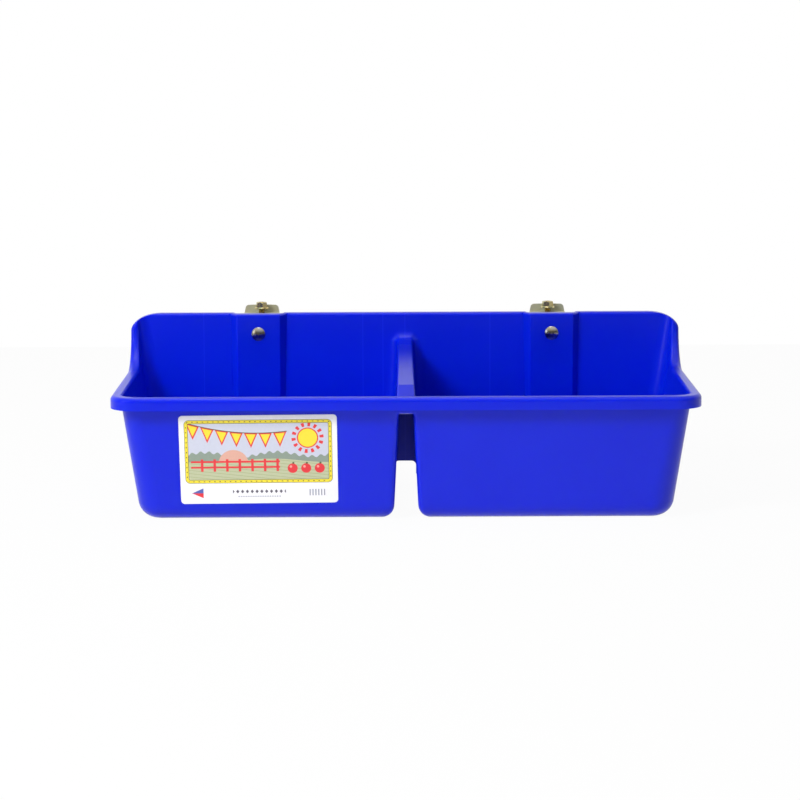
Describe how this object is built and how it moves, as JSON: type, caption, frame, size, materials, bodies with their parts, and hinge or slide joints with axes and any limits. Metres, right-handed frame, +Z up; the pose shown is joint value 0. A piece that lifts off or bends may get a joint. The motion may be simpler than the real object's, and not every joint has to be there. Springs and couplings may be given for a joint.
{
  "type": "hook over feeder trough",
  "caption": "Plastic feeder trough with a central divider, hung over a fence board by sliding steel hooks clamped with bolts.",
  "frame": {"origin": "bottom centre of the bounding box, on the plane the floor stands on", "axes": "+X to the right seen from the front, +Y from the front to the fence side, +Z up"},
  "size_m": [0.61, 0.3404, 0.1947],
  "materials": {
    "moulding": "glossy moulded polyethylene",
    "label": "printed vinyl",
    "plated_strip": "yellow zinc plate, faintly brushed",
    "plated_hardware": "yellow zinc plate",
    "bolt_head": "bright zinc plate"
  },
  "bodies": {
    "trough": {"trough": "moulding", "label": "label", "bracket_left": "plated_strip", "panel_bolt_left": "bolt_head", "panel_washer_left": "plated_hardware", "panel_nut_left": "plated_hardware", "bracket_right": "plated_strip", "panel_bolt_right": "bolt_head", "panel_washer_right": "plated_hardware", "panel_nut_right": "plated_hardware"},
    "hook_left": {"hook_left": "plated_strip", "clamp_bolt_left": "plated_hardware"},
    "clamp_washer_left": {"clamp_washer_left": "plated_hardware"},
    "clamp_nut_left": {"clamp_nut_left": "plated_hardware"},
    "hook_right": {"hook_right": "plated_strip", "clamp_bolt_right": "plated_hardware"},
    "clamp_washer_right": {"clamp_washer_right": "plated_hardware"},
    "clamp_nut_right": {"clamp_nut_right": "plated_hardware"}
  },
  "joints": [
    {"name": "hook_slide_left", "type": "slide", "parent": "trough", "child": "hook_left", "axis": [0, -1, 0], "range_m": [0, 0.025]},
    {"name": "clamp_travel_left", "type": "slide", "parent": "hook_left", "child": "clamp_washer_left", "axis": [0, 0, -1], "range_m": [0, 0.00481]},
    {"name": "clamp_turn_left", "type": "hinge", "parent": "clamp_washer_left", "child": "clamp_nut_left", "pos_m": [-0.1632, 0.15775, 0.1915], "axis": [0, 0, -1], "range_deg": [0, 1360.6]},
    {"name": "hook_slide_right", "type": "slide", "parent": "trough", "child": "hook_right", "axis": [0, -1, 0], "range_m": [0, 0.025]},
    {"name": "clamp_travel_right", "type": "slide", "parent": "hook_right", "child": "clamp_washer_right", "axis": [0, 0, -1], "range_m": [0, 0.00481]},
    {"name": "clamp_turn_right", "type": "hinge", "parent": "clamp_washer_right", "child": "clamp_nut_right", "pos_m": [0.1632, 0.15775, 0.1915], "axis": [0, 0, -1], "range_deg": [0, 1360.6]}
  ],
  "couplings": [
    {"joint": "clamp_travel_left", "follows": "clamp_turn_left", "m_per_rad": 0.00020213},
    {"joint": "clamp_travel_right", "follows": "clamp_turn_right", "m_per_rad": 0.00020213}
  ]
}
